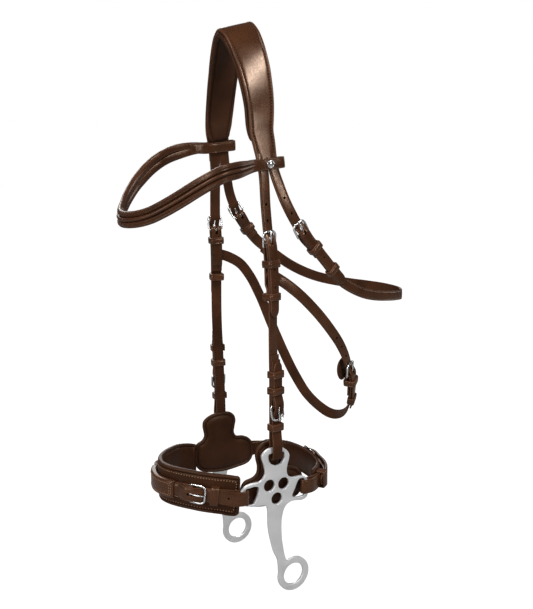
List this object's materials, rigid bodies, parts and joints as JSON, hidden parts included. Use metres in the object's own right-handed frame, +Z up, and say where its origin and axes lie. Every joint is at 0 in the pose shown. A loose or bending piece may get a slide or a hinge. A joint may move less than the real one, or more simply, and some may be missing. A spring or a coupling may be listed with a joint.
{
  "type": "bitless hackamore bridle",
  "caption": "Bitless leather bridle with padded crown, browband, throatlash and jaw strap, steered by curved lever plates that squeeze a padded noseband and chin strap.",
  "frame": {"origin": "centre of the bounding box in plan, at the lowest point of the lever rings", "axes": "+Z up along the cheeks, +X towards the left side of the horse, -Y towards its nose"},
  "size_m": [0.176, 0.3909, 0.677],
  "materials": {
    "bridle_leather": "semi-gloss dark brown",
    "lining_leather": "soft matt brown padding leather",
    "plate_steel": "satin",
    "buckle_nickel": "polished"
  },
  "bodies": {
    "headstall": {"cheek_strap_left": "bridle_leather", "cheek_strap_right": "bridle_leather", "crown_pad": "lining_leather", "headpiece": "bridle_leather", "jaw_buckle_frame": "buckle_nickel", "jaw_buckle_guard": "lining_leather", "jaw_fixed_keeper": "bridle_leather", "jaw_strap_billet": "bridle_leather", "jaw_strap_long": "bridle_leather", "lower_chape_left": "bridle_leather", "lower_chape_right": "bridle_leather", "lower_cheek_left_buckle_frame": "buckle_nickel", "lower_cheek_right_buckle_frame": "buckle_nickel", "lower_fixed_keeper_left": "bridle_leather", "lower_fixed_keeper_right": "bridle_leather", "lower_tip_keeper_left": "bridle_leather", "lower_tip_keeper_right": "bridle_leather", "throatlash_left_buckle_frame": "buckle_nickel", "throatlash_right_buckle_frame": "buckle_nickel", "throatlash_strap": "bridle_leather", "upper_cheek_left_buckle_frame": "buckle_nickel", "upper_cheek_right_buckle_frame": "buckle_nickel", "upper_fixed_keeper_left": "bridle_leather", "upper_fixed_keeper_right": "bridle_leather"},
    "upper_cheek_left_tongue": {"upper_cheek_left_buckle_tongue": "buckle_nickel"},
    "upper_runner_keeper_left": {"upper_runner_keeper_left": "bridle_leather"},
    "lower_cheek_left_tongue": {"lower_cheek_left_buckle_tongue": "buckle_nickel"},
    "lower_runner_keeper_left": {"lower_runner_keeper_left": "bridle_leather"},
    "upper_cheek_right_tongue": {"upper_cheek_right_buckle_tongue": "buckle_nickel"},
    "upper_runner_keeper_right": {"upper_runner_keeper_right": "bridle_leather"},
    "lower_cheek_right_tongue": {"lower_cheek_right_buckle_tongue": "buckle_nickel"},
    "lower_runner_keeper_right": {"lower_runner_keeper_right": "bridle_leather"},
    "throatlash_left_tongue": {"throatlash_left_buckle_tongue": "buckle_nickel"},
    "throatlash_runner_keeper_left": {"throatlash_runner_keeper_left": "bridle_leather"},
    "throatlash_right_tongue": {"throatlash_right_buckle_tongue": "buckle_nickel"},
    "throatlash_runner_keeper_right": {"throatlash_runner_keeper_right": "bridle_leather"},
    "jaw_tongue": {"jaw_buckle_tongue": "buckle_nickel"},
    "jaw_runner_keeper": {"jaw_runner_keeper": "bridle_leather"},
    "browband": {"browband": "bridle_leather", "browband_stud": "buckle_nickel"},
    "left_lever": {"lever_plate_left": "plate_steel", "lever_pad_left": "lining_leather"},
    "right_lever": {"lever_plate_right": "plate_steel", "lever_pad_right": "lining_leather"},
    "noseband_left_tongue": {"noseband_left_buckle_tongue": "buckle_nickel"},
    "noseband_keeper_left": {"noseband_keeper_left": "bridle_leather"},
    "noseband_right_tongue": {"noseband_right_buckle_tongue": "buckle_nickel"},
    "noseband_keeper_right": {"noseband_keeper_right": "bridle_leather"},
    "noseband": {"noseband": "bridle_leather", "noseband_overlay": "bridle_leather", "noseband_strap_left": "bridle_leather", "noseband_strap_right": "bridle_leather", "noseband_left_buckle_frame": "buckle_nickel", "noseband_right_buckle_frame": "buckle_nickel"},
    "chin_tongue": {"chin_buckle_tongue": "buckle_nickel"},
    "chin": {"chin_pad": "lining_leather", "chin_strap_left": "bridle_leather", "chin_strap_right": "bridle_leather", "chin_buckle_frame": "buckle_nickel", "chin_keeper": "bridle_leather"}
  },
  "joints": [
    {"name": "upper_cheek_left_tongue_pivot", "type": "hinge", "parent": "headstall", "child": "upper_cheek_left_tongue", "pos_m": [0.06645, -0.04473, 0.4264], "axis": [-0.1475, 0.9852, 0.0873], "range_deg": [0, 10]},
    {"name": "upper_runner_keeper_left_slide", "type": "slide", "parent": "headstall", "child": "upper_runner_keeper_left", "axis": [0.0188, 0.0025, -0.9998], "range_m": [-0.005, 0.005]},
    {"name": "lower_cheek_left_tongue_pivot", "type": "hinge", "parent": "headstall", "child": "lower_cheek_left_tongue", "pos_m": [0.07472, -0.03938, 0.24107], "axis": [0.1736, -0.9843, -0.0325], "range_deg": [0, 10]},
    {"name": "lower_runner_keeper_left_slide", "type": "slide", "parent": "headstall", "child": "lower_runner_keeper_left", "axis": [-0.026, 0.0255, -0.9993], "range_m": [-0.004, 0.002]},
    {"name": "upper_cheek_right_tongue_pivot", "type": "hinge", "parent": "headstall", "child": "upper_cheek_right_tongue", "pos_m": [-0.06597, -0.04541, 0.43382], "axis": [-0.1324, -0.9877, -0.0832], "range_deg": [0, 10]},
    {"name": "upper_runner_keeper_right_slide", "type": "slide", "parent": "headstall", "child": "upper_runner_keeper_right", "axis": [-0.0209, 0.0016, -0.9998], "range_m": [-0.005, 0.005]},
    {"name": "lower_cheek_right_tongue_pivot", "type": "hinge", "parent": "headstall", "child": "lower_cheek_right_tongue", "pos_m": [-0.07472, -0.03938, 0.24107], "axis": [0.1736, 0.9843, 0.0325], "range_deg": [0, 10]},
    {"name": "lower_runner_keeper_right_slide", "type": "slide", "parent": "headstall", "child": "lower_runner_keeper_right", "axis": [0.026, 0.0255, -0.9993], "range_m": [-0.004, 0.002]},
    {"name": "throatlash_left_tongue_pivot", "type": "hinge", "parent": "headstall", "child": "throatlash_left_tongue", "pos_m": [0.06677, 0.00048, 0.4375], "axis": [-0.0553, 0.8015, 0.5954], "range_deg": [0, 10]},
    {"name": "throatlash_runner_keeper_left_slide", "type": "slide", "parent": "headstall", "child": "throatlash_runner_keeper_left", "axis": [-0.1079, 0.705, -0.701], "range_m": [-0.005, 0.005]},
    {"name": "throatlash_right_tongue_pivot", "type": "hinge", "parent": "headstall", "child": "throatlash_right_tongue", "pos_m": [-0.06695, -0.01053, 0.45013], "axis": [0, -0.8257, -0.5641], "range_deg": [0, 10]},
    {"name": "throatlash_runner_keeper_right_slide", "type": "slide", "parent": "headstall", "child": "throatlash_runner_keeper_right", "axis": [0.1073, 0.7818, -0.6142], "range_m": [-0.005, 0.005]},
    {"name": "jaw_tongue_pivot", "type": "hinge", "parent": "headstall", "child": "jaw_tongue", "pos_m": [0.05727, 0.07604, 0.25859], "axis": [-0.4868, 0.7762, 0.4007], "range_deg": [0, 10]},
    {"name": "jaw_runner_keeper_slide", "type": "slide", "parent": "headstall", "child": "jaw_runner_keeper", "axis": [-0.3715, 0.1204, -0.9206], "range_m": [-0.003, 0.003]},
    {"name": "browband_swing", "type": "hinge", "parent": "headstall", "child": "browband", "pos_m": [0.00135, -0.04177, 0.52799], "axis": [0.9866, 0.012, -0.1627], "range_deg": [-3, 3]},
    {"name": "left_lever_pivot", "type": "hinge", "parent": "headstall", "child": "left_lever", "pos_m": [0.07275, -0.03907, 0.18589], "axis": [1, 0, 0], "range_deg": [-6, 14]},
    {"name": "right_lever_pivot", "type": "hinge", "parent": "headstall", "child": "right_lever", "pos_m": [-0.07275, -0.03907, 0.18589], "axis": [1, 0, 0], "range_deg": [-6, 14]},
    {"name": "noseband_left_tongue_pivot", "type": "hinge", "parent": "noseband", "child": "noseband_left_tongue", "pos_m": [0.04374, -0.13715, 0.14251], "axis": [-0.07, -0.0624, -0.9956], "range_deg": [0, 10]},
    {"name": "noseband_keeper_left_slide", "type": "slide", "parent": "noseband", "child": "noseband_keeper_left", "axis": [-0.506, -0.8532, 0.1267], "range_m": [-0.0015, 0.0015]},
    {"name": "noseband_right_tongue_pivot", "type": "hinge", "parent": "noseband", "child": "noseband_right_tongue", "pos_m": [-0.04374, -0.13715, 0.14251], "axis": [-0.07, 0.0624, 0.9956], "range_deg": [0, 10]},
    {"name": "noseband_keeper_right_slide", "type": "slide", "parent": "noseband", "child": "noseband_keeper_right", "axis": [0.506, -0.8532, 0.1267], "range_m": [-0.0015, 0.0015]},
    {"name": "noseband_swing", "type": "hinge", "parent": "left_lever", "child": "noseband", "pos_m": [0, -0.08307, 0.13519], "axis": [1, 0, 0], "range_deg": [-4, 4]},
    {"name": "chin_tongue_pivot", "type": "hinge", "parent": "chin", "child": "chin_tongue", "pos_m": [0.00205, 0.05532, 0.13519], "axis": [-0.0035, 0.0001, -1], "range_deg": [0, 10]},
    {"name": "chin_swing", "type": "hinge", "parent": "left_lever", "child": "chin", "pos_m": [0, 0.00303, 0.13219], "axis": [1, 0, 0], "range_deg": [-5, 5]}
  ],
  "couplings": [
    {"joint": "right_lever_pivot", "follows": "left_lever_pivot", "ratio": 1}
  ]
}
